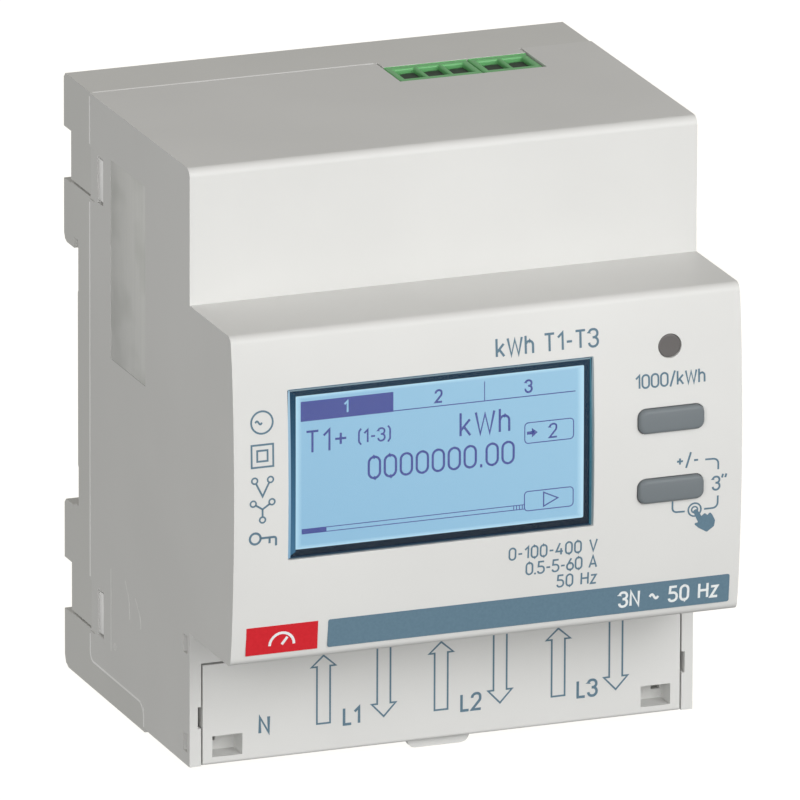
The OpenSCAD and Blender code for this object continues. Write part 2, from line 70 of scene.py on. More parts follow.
def linear(hex_colour):
    """A paint-chart colour such as D8D8D5, as the linear values that a shader works in."""
    parts = [int(hex_colour[i:i + 2], 16) / 255 for i in (0, 2, 4)]
    return [c / 12.92 if c <= 0.04045 else ((c + 0.055) / 1.055) ** 2.4 for c in parts] + [1.0]


def add_node(tree, kind, settings=None, links=None):
    """A shader node with its own settings, its socket values, and {input: (node, output)} links."""
    made = tree.nodes.new(kind)
    for key, value in (settings or {}).items():
        if isinstance(key, str) and hasattr(made, key):
            setattr(made, key, value)
        else:
            made.inputs[key].default_value = value
    for key, (source, output) in (links or {}).items():
        tree.links.new(source.outputs[output], made.inputs[key])
    return made


def place_camera(target, azimuth, elevation, roll, distance, aside, above, lens):
    """A camera that looks at target, in metres and degrees, moved sideways and up in its own plane."""
    a, e = math.radians(azimuth), math.radians(elevation)
    back = Vector((math.sin(a) * math.cos(e), -math.cos(a) * math.cos(e), math.sin(e)))
    turn = (-back).to_track_quat("-Z", "Y").to_matrix() @ Matrix.Rotation(math.radians(roll), 3, "Z")
    cam = bpy.data.objects.new("camera", bpy.data.cameras.new("camera"))
    bpy.context.collection.objects.link(cam)
    place = Vector(target) + back * distance + turn @ Vector((aside, above, 0))
    cam.matrix_world = Matrix.Translation(place) @ turn.to_4x4()
    cam.data.lens, cam.data.sensor_width = lens, 36.0
    cam.data.clip_start, cam.data.clip_end = 0.1, 20.0
    bpy.context.scene.camera = cam


place_camera((0, -0.0194, -0.0005), -21.0155, 17.247, 0.21, 2.432, 0.00282, -0.00064, 825)


def soft_box(name, direction, distance, size, watts, colour):
    """A square area light that shines at the meter from a direction."""
    lamp = bpy.data.lights.new(name, "AREA")
    lamp.shape, lamp.size, lamp.energy = "SQUARE", size, watts
    lamp.color = linear(colour)[:3]
    held = bpy.data.objects.new(name, lamp)
    bpy.context.collection.objects.link(held)
    toward = Vector(direction).normalized()
    held.location = toward * distance
    held.rotation_euler = (-toward).to_track_quat("-Z", "Y").to_euler()


soft_box("key_light", (0.36, -0.84, 0.40), 0.8, 0.5, 3.5, "FFFFFF")
soft_box("fill_light", (-0.57, -0.80, 0.20), 0.8, 0.5, 2.1, "FFFFFF")

surround = bpy.data.worlds.new("surround")
surround.use_nodes = True
sky = surround.node_tree
aim = add_node(sky, "ShaderNodeTexCoord")
rise = add_node(sky, "ShaderNodeSeparateXYZ", links={"Vector": (aim, "Generated")})
height = add_node(sky, "ShaderNodeMapRange", {"From Min": -1.0}, {"Value": (rise, "Z")})
band = add_node(sky, "ShaderNodeValToRGB", links={"Fac": (height, "Result")})
band.color_ramp.elements[0].color = linear("8B8B8B")
band.color_ramp.elements.new(0.5).color = linear("B3B3B1")
band.color_ramp.elements[2].color = linear("9D9A96")
sky.links.new(band.outputs["Color"], sky.nodes["Background"].inputs["Color"])
bpy.context.scene.world = surround
bpy.context.scene.view_settings.view_transform = "Standard"

# white card, lit so that it shows as plain white
table_paper = bpy.data.materials.new("white_card")
table_paper.use_nodes = True
card = table_paper.node_tree.nodes["Principled BSDF"]
card.inputs["Base Color"].default_value = linear("6C6C6C")
card.inputs["Roughness"].default_value = 0.9
card.inputs["Emission Color"].default_value = linear("FFFDF8")
card.inputs["Emission Strength"].default_value = 1.0
table = bmesh.new()
bmesh.ops.create_grid(table, x_segments=8, y_segments=8, size=4.0)
table_mesh = bpy.data.meshes.new("table")
table.to_mesh(table_mesh)
table_top = bpy.data.objects.new("table", table_mesh)
bpy.context.collection.objects.link(table_top)
table_mesh.materials.append(table_paper)
table_top.location.z = cad_box[0].z - 0.0002
table_top.visible_diffuse = table_top.visible_glossy = False

# ---- Rear base ---------------------------------------------------------------
# The base is one grey polycarbonate moulding: rail slot, snap arms and the tray under the case.
# Its tool was spark-eroded, which leaves a fine even grain, and ejector pins leave faint rings.


def moulded_plastic(name, colour, darker, roughness=0.5, grain=0.45, depth=0.012, coat=0.0):
    """Injection-moulded thermoplastic: spark grain of that size and depth in millimetres, and slight
    flow shading over a few centimetres. Real spark grain is below 0.1 mm; it is drawn coarser so
    that it shows."""
    made = bpy.data.materials.new(name)
    made.use_nodes = True
    tree = made.node_tree
    shader = tree.nodes["Principled BSDF"]
    shader.inputs["Specular IOR Level"].default_value = 0.45
    shader.inputs["Coat Weight"].default_value = coat
    place = add_node(tree, "ShaderNodeTexCoord")
    flow = add_node(tree, "ShaderNodeTexNoise", {"Scale": 45.0, "Detail": 3.0}, {"Vector": (place, "Object")})
    tint = add_node(tree, "ShaderNodeValToRGB", links={"Fac": (flow, "Fac")})
    tint.color_ramp.elements[0].position, tint.color_ramp.elements[1].position = 0.3, 0.7
    tint.color_ramp.elements[0].color, tint.color_ramp.elements[1].color = linear(darker), linear(colour)
    spark = add_node(tree, "ShaderNodeTexNoise", {"Scale": 1000 / grain, "Detail": 2.0},
                     {"Vector": (place, "Object")})
    gloss = add_node(tree, "ShaderNodeMapRange", {"To Min": roughness - 0.05, "To Max": roughness + 0.05},
                     {"Value": (spark, "Fac")})
    relief = add_node(tree, "ShaderNodeBump", {"Strength": 0.35, "Distance": depth / 1000},
                      {"Height": (spark, "Fac")})
    tree.links.new(tint.outputs["Color"], shader.inputs["Base Color"])
    tree.links.new(gloss.outputs["Result"], shader.inputs["Roughness"])
    tree.links.new(relief.outputs["Normal"], shader.inputs["Normal"])
    return made


def finish_node(name, material, edge=0.0, rounds=2):
    """Gives a CAD node its material, and rounds its sharp edges by that many millimetres."""
    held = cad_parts[name]
    for place in held.material_slots:
        place.material = material
    if edge:
        join = held.modifiers.new("join", "WELD")
        join.merge_threshold = 1e-6
        flat = held.modifiers.new("flat", "DECIMATE")
        flat.decimate_type, flat.angle_limit = "DISSOLVE", 0.003
        turned = held.modifiers.new("edges", "BEVEL")
        turned.width, turned.segments = edge / 1000, rounds
        turned.limit_method, turned.angle_limit = "ANGLE", math.radians(32)
        smooth = held.modifiers.new("smooth", "WEIGHTED_NORMAL")
        smooth.weight, smooth.keep_sharp = 80, False
    return held


# moulded polycarbonate with spark grain: matt and even, with only a broad soft highlight
base_grey = moulded_plastic("polycarbonate_grey_spark_grain", "D6D6D3", "D2D2CF", 0.52)
finish_node("rear_base", base_grey, 0.14)

# ---- Rail clip ---------------------------------------------------------------
# The clip is white acetal, which slides without grease, with a slot for a screwdriver in its foot.
# Its spring is drawn steel wire wound cold, seven turns, between a peg of the base and the clip.

# moulded acetal: a little whiter and waxier than the case
acetal = moulded_plastic("acetal_white_satin", "D9D9D4", "D3D3CD", 0.4, 0.8, 0.004)
finish_node("rail_clip", acetal, 0.25)


def metal(name, colour, darker, roughness, grain, stretch=(1, 1, 1)):
    """A metal surface whose fine marks are that many millimetres apart, and longer along a direction
    with a stretch below 1."""
    made = bpy.data.materials.new(name)
    made.use_nodes = True
    tree = made.node_tree
    shader = tree.nodes["Principled BSDF"]
    shader.inputs["Metallic"].default_value = 1.0
    place = add_node(tree, "ShaderNodeTexCoord")
    along = add_node(tree, "ShaderNodeMapping", {"Scale": stretch}, {"Vector": (place, "Object")})
    marks = add_node(tree, "ShaderNodeTexNoise", {"Scale": 1000 / grain, "Detail": 4.0},
                     {"Vector": (along, "Vector")})
    tint = add_node(tree, "ShaderNodeValToRGB", links={"Fac": (marks, "Fac")})
    tint.color_ramp.elements[0].color, tint.color_ramp.elements[1].color = linear(darker), linear(colour)
    gloss = add_node(tree, "ShaderNodeMapRange", {"To Min": roughness - 0.08, "To Max": roughness + 0.1},
                     {"Value": (marks, "Fac")})
    relief = add_node(tree, "ShaderNodeBump", {"Strength": 0.2, "Distance": 0.00001}, {"Height": (marks, "Fac")})
    tree.links.new(tint.outputs["Color"], shader.inputs["Base Color"])
    tree.links.new(gloss.outputs["Result"], shader.inputs["Roughness"])
    tree.links.new(relief.outputs["Normal"], shader.inputs["Normal"])
    return made


def make_piece(name, mesh, material, body, node=None, smooth=40):
    """A piece built in millimetres becomes an object in metres that moves with a body, and may stand
    for a CAD node."""
    bmesh.ops.recalc_face_normals(mesh, faces=mesh.faces)
    bmesh.ops.scale(mesh, vec=(0.001, 0.001, 0.001), verts=mesh.verts)
    data = bpy.data.meshes.new(name)
    mesh.to_mesh(data)
    mesh.free()
    data.materials.append(material)
    data.shade_smooth()
    data.set_sharp_from_angle(angle=math.radians(smooth))
    made = bpy.data.objects.new(name, data)
    bpy.context.collection.objects.link(made)
    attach(made, body)
    if node:
        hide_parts(node)
    return made


def loft(mesh, rings):
    """Joins closed rings of points, each with the same count, and closes both ends."""
    rows = [[mesh.verts.new(p) for p in ring] for ring in rings]
    for low, high in zip(rows, rows[1:]):
        for i in range(len(low)):
            j = (i + 1) % len(low)
            mesh.faces.new((low[i], low[j], high[j], high[i]))
    mesh.faces.new(list(reversed(rows[0])))
    mesh.faces.new(rows[-1])


# drawn steel wire: bright along its length, with fine dark drawing lines
spring_wire = metal("spring_steel_drawn", "B9B9B6", "8E8E8C", 0.35, 0.3, (1, 1, 0.2))
spring_low, spring_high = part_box("rail_clip_spring")
wire_r, turns, steps = 0.25, 7, 24
coil_r = (spring_high.x - spring_low.x) * 500 - wire_r
spring_y = 3.2
coil = bmesh.new()
rings = []
for i in range(turns * steps + 1):
    angle = 2 * math.pi * i / steps
    z = (spring_low.z * 1000 + wire_r) + ((spring_high.z - spring_low.z) * 1000 - 2 * wire_r) * i / (turns * steps)
    out = Vector((math.cos(angle), math.sin(angle), 0))
    centre = out * coil_r + Vector((0, spring_y, z))
    rings.append([centre + out * wire_r * math.cos(t) + Vector((0, 0, wire_r * math.sin(t)))
                  for t in [2 * math.pi * k / 10 for k in range(10)]])
loft(coil, rings)
spring = make_piece("clip_spring_coil", coil, spring_wire, "rail_clip", "rail_clip_spring")
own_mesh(spring)

# ---- Front case --------------------------------------------------------------
# The case is one light grey ABS and polycarbonate moulding with a slightly bulging front nose.
# It has the same spark grain all over; the marks are screen-printed on it in blue-grey ink.

# moulded ABS blend with spark grain: a flat light grey, its edges softened by small radii
case_grey = moulded_plastic("abs_light_grey_spark_grain", "DADAD8", "D6D6D4", 0.5)
finish_node("main_case", case_grey, 0.3, 3)

nose_half, nose_edge, bulge = 22.5, 58.7, 1.25


def nose_front(x, z, proud):
    """A point on the bulging front of the nose, raised by proud millimetres."""
    return (x, -nose_edge - bulge * (1 - (z / nose_half) ** 2) - proud, z)


def rounded_path(points, closed=False, steps=5):
    """Straight runs between (x, z) points; a point (x, z, r) is a corner rounded to radius r."""
    count, out = len(points), []
    for i, p in enumerate(points):
        here = Vector(p[:2])
        r = p[2] if len(p) > 2 else 0
        if r == 0 or (not closed and i in (0, count - 1)):
            out.append(here)
            continue
        before = Vector(points[i - 1][:2]) - here
        after = Vector(points[(i + 1) % count][:2]) - here
        half_turn = before.angle(after) / 2
        reach = min(r / math.tan(half_turn), before.length * 0.5 if len(points[i - 1]) > 2 else before.length,
                    after.length * 0.5 if len(points[(i + 1) % count]) > 2 else after.length)
        a, b = here + before.normalized() * reach, here + after.normalized() * reach
        middle = here + (before.normalized() + after.normalized()).normalized() * (
            reach / math.cos(half_turn))
        start = a - middle
        sweep = start.angle_signed(b - middle)
        for k in range(steps + 1):
            out.append(middle + Matrix.Rotation(-sweep * k / steps, 2) @ start)
    return out


def stroke(mesh, points, width, surface, closed=False, height=0.03, sunk=0.03):
    """A printed line of that width: a thin raised strip along a path, on a surface."""
    path = rounded_path(points, closed)
    count = len(path)
    sides = []
    for i, p in enumerate(path):
        before = p - path[i - 1] if closed or i else path[1] - p
        after = path[(i + 1) % count] - p if closed or i < count - 1 else p - path[i - 1]
        a, b = before.normalized(), after.normalized()
        across = Vector((-a.y, a.x)) + Vector((-b.y, b.x))
        across = across.normalized() if across.length > 1e-6 else Vector((-a.y, a.x))
        out = across * width / 2 / max(0.45, across.dot(Vector((-a.y, a.x))))
        sides.append((p + out, p - out))
    rows = [[mesh.verts.new(surface(q.x, q.y, h)) for q, h in
             ((left, -sunk), (left, height), (right, height), (right, -sunk))] for left, right in sides]
    last = count if closed else count - 1
    for i in range(last):
        low, high = rows[i], rows[(i + 1) % count]
        for k in range(4):
            mesh.faces.new((low[k], low[(k + 1) % 4], high[(k + 1) % 4], high[k]))
    if not closed:
        mesh.faces.new(rows[0])
        mesh.faces.new(list(reversed(rows[-1])))


def patch(mesh, points, surface, height=0.03, sunk=0.03):
    """A printed area inside an outline, as a thin raised plate on a surface."""
    path = rounded_path(points, True)
    loft(mesh, [[surface(p.x, p.y, h) for p in path] for h in (-sunk, height)])


def circle(x, z, r, count=24):
    """Points of a circle, to draw as a closed line or an area."""
    return [(x + r * math.cos(2 * math.pi * k / count), z + r * math.sin(2 * math.pi * k / count))
            for k in range(count)]


# Road-sign letters: width, then strokes, on a capital ten units high; a third value rounds a corner
GLYPHS = {
    "0": (5.4, [[(0, 0, 2.7), (5.4, 0, 2.7), (5.4, 10, 2.7), (0, 10, 2.7), (0, 0)]]),
    "1": (3.0, [[(0, 7.4), (2.8, 10), (2.8, 0)]]),
    "2": (5.4, [[(0, 7.4), (0, 10, 2.7), (5.2, 10, 2.7), (5.2, 6, 2.4), (0, 0), (5.6, 0)]]),
    "3": (5.4, [[(0, 7.8), (0, 10, 2.6), (5.2, 10, 2.6), (5.2, 5.3, 2.2), (2.2, 5.3)],
                [(2.2, 5.3), (5.4, 5.3, 2.5), (5.4, 0, 2.7), (0, 0, 2.7), (0, 2.4)]]),
    "4": (5.8, [[(3.2, 10), (0, 2.8), (5.8, 2.8)], [(4.3, 5.4), (4.3, 0)]]),
    "5": (5.4, [[(5.2, 10), (0.7, 10), (0.4, 5.9), (5.4, 5.9, 2.6), (5.4, 0, 2.7), (0, 0, 2.7), (0, 2)]]),
    "6": (5.4, [[(0, 0, 2.7), (5.4, 0, 2.7), (5.4, 6, 2.7), (0, 6, 2.7), (0, 0)], [(0.5, 4.6), (3.6, 10)]]),
    "A": (6.2, [[(0, 0), (3.1, 10), (6.2, 0)], [(1, 3), (5.2, 3)]]),
    "H": (5.8, [[(0, 0), (0, 10)], [(5.8, 0), (5.8, 10)], [(0, 5.2), (5.8, 5.2)]]),
    "L": (4.6, [[(0, 10), (0, 0), (4.6, 0)]]),
    "N": (5.6, [[(0, 0), (0, 10), (5.6, 0), (5.6, 10)]]),
    "T": (5.8, [[(0, 10), (5.8, 10)], [(2.9, 10), (2.9, 0)]]),
    "V": (6.2, [[(0, 10), (3.1, 0), (6.2, 10)]]),
    "W": (8.6, [[(0, 10), (2.1, 0), (4.3, 9), (6.5, 0), (8.6, 10)]]),
    "h": (4.4, [[(0, 0), (0, 10.4)], [(0, 4.2), (0, 7.2, 2.4), (4.4, 7.2, 2.3), (4.4, 0)]]),
    "k": (4.5, [[(0, 0), (0, 10.4)], [(0, 2.4), (4.3, 7.2)], [(1.5, 4.2), (4.5, 0)]]),
    "z": (4.4, [[(0, 7.2), (4.4, 7.2), (0, 0), (4.6, 0)]]),
    "+": (4.8, [[(0, 4.6), (4.8, 4.6)], [(2.4, 2.2), (2.4, 7)]]),
    "-": (3.2, [[(0, 4.4), (3.2, 4.4)]]),
    "/": (3.8, [[(0, -1), (3.8, 11)]]),
    ".": (0.6, [[(0.3, -0.6), (0.3, 0.9)]]),
    "(": (1.8, [[(1.8, 11.4), (0, 9, 3), (0, 1, 3), (1.8, -1.4)]]),
    ")": (1.8, [[(0, 11.4), (1.8, 9, 3), (1.8, 1, 3), (0, -1.4)]]),
    "~": (6.0, [[(6 * k / 10, 4.8 + 1.5 * math.sin(2 * math.pi * k / 10)) for k in range(11)]]),
    "'": (1.0, [[(1.0, 11.6), (0.2, 8.8)]]),
    " ": (2.6, []),
}


def write(mesh, words, x, z, capital, weight, surface, right=False, spacing=2.6, height=0.03):
    """Words in strokes of that weight, from x onwards, or ending at x, on a baseline at z."""
    unit = capital / 10
    length = sum(GLYPHS[c][0] + spacing for c in words) - spacing
    pen = x - length * unit if right else x
    for c in words:
        advance, runs = GLYPHS[c]
        for step, run in enumerate(runs):
            closed = len(run) > 2 and run[0][:2] == run[-1][:2]
            points = [(pen + p[0] * unit, z + p[1] * unit, *[r * unit for r in p[2:]])
                      for p in (run[:-1] if closed else run)]
            stroke(mesh, points, weight, surface, closed, height + 0.004 * step)
        pen += (advance + spacing) * unit


def printed_ink(name, colour, darker, roughness=0.5):
    """Screen-printed two-part ink: a satin film, its edge and density a little uneven from the mesh."""
    made = bpy.data.materials.new(name)
    made.use_nodes = True
    tree = made.node_tree
    shader = tree.nodes["Principled BSDF"]
    shader.inputs["Specular IOR Level"].default_value = 0.35
    place = add_node(tree, "ShaderNodeTexCoord")
    mottle = add_node(tree, "ShaderNodeTexNoise", {"Scale": 2600.0, "Detail": 2.0}, {"Vector": (place, "Object")})
    tint = add_node(tree, "ShaderNodeValToRGB", links={"Fac": (mottle, "Fac")})
    tint.color_ramp.elements[0].position, tint.color_ramp.elements[1].position = 0.3, 0.7
    tint.color_ramp.elements[0].color, tint.color_ramp.elements[1].color = linear(darker), linear(colour)
    gloss = add_node(tree, "ShaderNodeMapRange", {"To Min": roughness - 0.06, "To Max": roughness + 0.06},
                     {"Value": (mottle, "Fac")})
    tree.links.new(tint.outputs["Color"], shader.inputs["Base Color"])
    tree.links.new(gloss.outputs["Result"], shader.inputs["Roughness"])
    return made


# screen inks: flat satin colour with a faint mottle from the mesh
blue_ink = printed_ink("screen_ink_blue_grey", "617D8E", "5C7889")
red_ink = printed_ink("screen_ink_red", "CF1C29", "C91724")
white_ink = printed_ink("screen_ink_white", "E9ECEC", "E0E4E5")

marks = bmesh.new()
write(marks, "kWh T1-T3", 15.4, 16.2, 2.3, 0.31, nose_front, right=True, spacing=2.3)
write(marks, "1000/kWh", 30.3, 9.85, 1.75, 0.25, nose_front, right=True, spacing=2.1)
write(marks, "+/-", 26.4, -1.5, 1.75, 0.26, nose_front)
write(marks, "3''", 31.5, -5.15, 1.8, 0.26, nose_front, spacing=1.6)
write(marks, "0-100-400 V", 15.3, -11.75, 1.6, 0.23, nose_front, right=True)
write(marks, "0.5-5-60 A", 15.3, -14.05, 1.6, 0.23, nose_front, right=True, spacing=2.1)
write(marks, "50 Hz", 15.3, -16.3, 1.6, 0.23, nose_front, right=True)
for run in ([(30.4, -0.8), (32.25, -0.85, 0.7), (32.25, -2.35)],
            [(32.25, -6.0), (32.25, -7.65, 0.7), (30.35, -7.65)],
            [(25.85, -6.1), (25.85, -7.65, 0.6), (27.6, -7.7)]):
    stroke(marks, run, 0.24, nose_front)
stroke(marks, circle(29.0, -7.6, 0.9), 0.22, nose_front, True)
stroke(marks, circle(29.0, -7.6, 0.42, 16), 0.2, nose_front, True)
# a pointing hand
patch(marks, [(28.75, -7.75, 0.2), (29.3, -7.5, 0.25), (30.0, -8.6), (30.45, -8.2, 0.2), (30.85, -8.55),
              (31.2, -8.15, 0.2), (31.55, -8.6, 0.3), (31.95, -9.4, 0.3), (31.8, -10.2, 0.2), (30.8, -10.9, 0.2),
              (29.6, -10.2, 0.3), (28.85, -9.5, 0.3), (29.55, -9.45, 0.1)], nose_front)
# signs for alternating current, double insulation, and the two kinds of connection
left, line = -31.65, 0.25
stroke(marks, circle(left, 10.9, 1.5, 28), line, nose_front, True)
write(marks, "~", left - 0.93, 10.15, 1.55, line, nose_front)
for half in (1.5, 0.72):
    stroke(marks, [(left - half, 6.4 - half), (left + half, 6.4 - half), (left + half, 6.4 + half),
                   (left - half, 6.4 + half)], line, nose_front, True)
stroke(marks, [(left - 0.9, 2.7), (left, 0.9), (left + 0.9, 2.7)], line, nose_front)
stroke(marks, [(left, -0.85), (left, -1.9)], line, nose_front)
stroke(marks, [(left - 1.0, -0.2), (left, -0.85), (left + 1.0, -0.2)], line, nose_front)
for x, z in ((-1.1, 3.1), (1.1, 3.1), (-1.3, 0.0), (1.3, 0.05), (0, -2.3)):
    stroke(marks, circle(left + x, z, 0.4, 14), 0.22, nose_front, True)
stroke(marks, circle(left - 1.0, -4.8, 0.75, 20), 0.3, nose_front, True)
stroke(marks, [(left - 0.25, -4.8), (left + 1.9, -4.8, 0.3), (left + 1.9, -6.0)], 0.3, nose_front)
stroke(marks, [(left + 1.0, -4.8), (left + 1.0, -5.6)], 0.3, nose_front)
patch(marks, [(-22.2, -21.1, 0.3), (34.3, -21.1, 0.3), (34.3, -17.2, 0.3), (-22.2, -17.2, 0.3)], nose_front)
make_piece("front_print_blue", marks, blue_ink, "meter_body")

block = bmesh.new()
patch(block, [(-33.6, -21.1), (-23.6, -21.1), (-23.6, -17.2), (-33.6, -17.2)], nose_front)
make_piece("front_print_red", block, red_ink, "meter_body")

pale = bmesh.new()
write(pale, "3N ~ 50 Hz", 32.6, -20.15, 2.0, 0.33, nose_front, right=True, height=0.05)
# a plain dial with its needle
dial = [(-28.6 + 1.7 * math.cos(math.radians(a)), -20.0 + 1.7 * math.sin(math.radians(a))) for a in range(0, 181, 15)]
stroke(pale, dial, 0.36, nose_front, height=0.05)
stroke(pale, [(-28.6, -19.95), (-27.85, -18.95)], 0.36, nose_front, height=0.05)
make_piece("front_print_white", pale, white_ink, "meter_body")


case_half, case_top, parting = 35.6, 41.0, -5.2


def left_side(y, z, proud):
    """A point on the left side of the case, raised by proud millimetres."""
    return (-case_half - proud, y, z)


def top_side(x, y, proud):
    """A point on the top of the case, raised by proud millimetres."""
    return (x, y, case_top + proud)


# the seam and the snap tongues in white plastic: a painted highlight, paler and smoother than the faces around
painted_highlight_white = moulded_plastic("polycarbonate_painted_highlight_edge", "FFFFFF", "F4F4F2", 0.4, 0.5, 0.006)
seam = bmesh.new()
for high, low in ((40.5, 34.0), (26.0, -26.0)):
    stroke(seam, [(parting, high), (parting, low)], 0.34, left_side, height=0.015, sunk=0.2)
stroke(seam, [(parting, -34.0), (parting, -37.65, 1.2), (-25.75, -37.65, 1.8), (-25.75, -40.8)], 0.3, left_side,
       height=0.01, sunk=0.2)
stroke(seam, [(-35.2, parting), (4.5, parting)], 0.3, top_side, height=0.015, sunk=0.1)
make_piece("case_seam_ridge", seam, painted_highlight_white, "meter_body")
# the snap tongues carry the same painted highlight, in white
tongues = bmesh.new()
for side in (-1, 1):
    for low in (26.4, -33.6):
        rings = []
        for x, inset in ((34.9, 0), (35.4, 0), (35.5, 0.12)):
            y0, y1, z0, z1 = -10.3 + inset, -8.42 - inset, low + 0.75 + inset, low + 6.45 - inset
            rings.append([(side * x, y, z) for y, z in ((y0, z0), (y1, z0), (y1, z1), (y0, z1))])
        loft(tongues, rings)
make_piece("snap_tongue_faces", tongues, painted_highlight_white, "meter_body")
ribs = bmesh.new()
stroke(ribs, [(-13.25, -22.6), (-13.25, -34.0)], 0.34, left_side, height=0.02)
stroke(ribs, circle(-14.8, -33.0, 0.42, 16), 0.2, left_side, True, height=0.02)
stroke(ribs, [(-18.7, -22.6), (-20.3, -25.0, 3), (-20.4, -27.5)], 0.26, left_side, height=0.02)
stroke(ribs, [(-22.5, -23.9), (-24.6, -25.9, 3), (-24.7, -27.5)], 0.26, left_side, height=0.02)
# ABS a trace paler than the wall: a painted highlight along the ribs
rib_highlight_grey = moulded_plastic("abs_light_grey_painted_highlight", "E6E6E4", "E0E0DE", 0.46, 0.45, 0.008)
make_piece("case_side_ribs", ribs, rib_highlight_grey, "meter_body")

# ---- Side window -------------------------------------------------------------
# A polyester label film is laid in a shallow seat in the left side. It has the colour of the case
# but a smooth face; the streaks in which it catches the light are a painted reflection in its colour.

# polyester film: smoother than the case, with fine upright streaks of painted reflection and a faint smoky patch. Real
# streaks are some hundredths of a millimetre wide; they are drawn at 0.7 mm so that they show.
label_film = bpy.data.materials.new("polyester_film_satin_gloss")
label_film.use_nodes = True
film = label_film.node_tree
film_place = add_node(film, "ShaderNodeTexCoord")
film_along = add_node(film, "ShaderNodeMapping", {"Scale": (1, 1, 0.04)}, {"Vector": (film_place, "Object")})
streaks = add_node(film, "ShaderNodeTexNoise", {"Scale": 1400.0, "Detail": 3.0}, {"Vector": (film_along, "Vector")})
smoke = add_node(film, "ShaderNodeTexNoise", {"Scale": 110.0, "Detail": 2.0}, {"Vector": (film_place, "Object")})
# painted reflection: the streaks lighten and darken the film's colour
painted_streak_reflection = add_node(film, "ShaderNodeValToRGB", links={"Fac": (streaks, "Fac")})
painted_streak_reflection.color_ramp.elements[0].color, painted_streak_reflection.color_ramp.elements[1].color = linear("D2D3D0"), linear("DFDFDC")
smoke_tint = add_node(film, "ShaderNodeValToRGB", links={"Fac": (smoke, "Fac")})
smoke_tint.color_ramp.elements[0].position, smoke_tint.color_ramp.elements[1].position = 0.3, 0.5
smoke_tint.color_ramp.elements[0].color, smoke_tint.color_ramp.elements[1].color = linear("EDEEEC"), linear("FFFFFF")
film_tint = add_node(film, "ShaderNodeMix", {"data_type": "RGBA", "blend_type": "MULTIPLY", 0: 1.0},
                     {6: (painted_streak_reflection, "Color"), 7: (smoke_tint, "Color")})
film.links.new(film_tint.outputs[2], film.nodes["Principled BSDF"].inputs["Base Color"])
film_gloss = add_node(film, "ShaderNodeMapRange", {"To Min": 0.34, "To Max": 0.46}, {"Value": (streaks, "Fac")})
film.links.new(film_gloss.outputs["Result"], film.nodes["Principled BSDF"].inputs["Roughness"])
plate = bmesh.new()
film_low, film_high = (1000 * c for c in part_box("side_window"))
film_rings = []
for x, inset in ((film_high.x, -0.08), (film_low.x - 0.04, -0.08), (film_low.x - 0.08, -0.02)):
    film_rings.append([(x, y, z) for y, z in (
        (film_low.y + inset, film_low.z + inset), (film_high.y - inset, film_low.z + inset),
        (film_high.y - inset, film_high.z - inset), (film_low.y + inset, film_high.z - inset))])
loft(plate, film_rings)
make_piece("side_window_film", plate, label_film, "meter_body", "side_window")

# ---- Terminal block and current path -----------------------------------------
# The block is glass-filled polyamide. Rolled copper straps run from the contact plates through the
# current sensors, and cheese-head screws of zinc-plated steel draw yellow-plated cages forward.

# glass-filled polyamide: dull, with a rough mottle
polyamide = moulded_plastic("polyamide_glass_filled", "C9C9C5", "BEBEB9", 0.6, 0.6, 0.02)
# rolled copper: warm and bright, with lines along the strap
copper = metal("copper_rolled", "C8794F", "A65F3C", 0.3, 0.5, (1, 0.1, 1))
# bright zinc plate: cool grey, slightly cloudy
zinc = metal("steel_zinc_plated", "C9CDD2", "A7ACB3", 0.28, 0.7)
# yellow passivated zinc: straw-coloured and slightly cloudy
yellow_zinc = metal("steel_yellow_passivated", "C7B98A", "9C9168", 0.32, 0.6)
finish_node("terminal_block", polyamide, 0.15)
finish_node("neutral_strap", copper, 0.1)
for phase in ("l1", "l2", "l3"):
    finish_node("busbar_" + phase, copper, 0.1)
for name in ("n", "l1_in", "l1_out", "l2_in", "l2_out", "l3_in", "l3_out"):
    finish_node("screw_" + name, zinc)
    finish_node("clamp_" + name, yellow_zinc)

# ---- Boards, sensors and supply ----------------------------------------------
# Two large boards and the display board are glass laminate with green solder mask. They carry a
# taped transformer, sleeved capacitors, chips in black epoxy, and ring-core current sensors.

# solder mask: a glossy dark green
mask_green = moulded_plastic("solder_mask_green", "1F6B3C", "175530", 0.3, 1.2, 0.03, 0.4)
# moulding epoxy: dull near-black
epoxy_black = moulded_plastic("moulding_epoxy_black", "26272A", "1C1D1F", 0.45, 0.3, 0.01)
# polyester tape: smooth glossy amber
tape_yellow = moulded_plastic("polyester_tape_yellow", "D9A92B", "C4951F", 0.25, 2.0, 0.02)
# shrunk sleeve: glossy dark blue
sleeve_blue = moulded_plastic("capacitor_sleeve_blue", "2A3158", "20264A", 0.25, 3.0, 0.01)
# natural nylon: cream, with a soft sheen
nylon = moulded_plastic("nylon_natural", "DAD6C8", "D0CBBB", 0.4, 0.8, 0.01)
# cast polyester resin: satin black
sensor_black = moulded_plastic("polyester_resin_black", "2A2C30", "202226", 0.4, 0.6, 0.01)
for name, material, edge in (
        ("display_board", mask_green, 0.05), ("power_board", mask_green, 0.05), ("metering_board", mask_green, 0.05),
        ("display_chips", epoxy_black, 0.1), ("metering_chips", epoxy_black, 0.15), ("board_links", epoxy_black, 0.2),
        ("power_transformer", tape_yellow, 0.5), ("power_capacitors", sleeve_blue, 0.6),
        ("board_spacers", nylon, 0.2), ("board_screws", zinc, 0.2), ("current_sensor_l1", sensor_black, 0.5),
        ("current_sensor_l2", sensor_black, 0.5), ("current_sensor_l3", sensor_black, 0.5)):
    finish_node(name, material, edge)
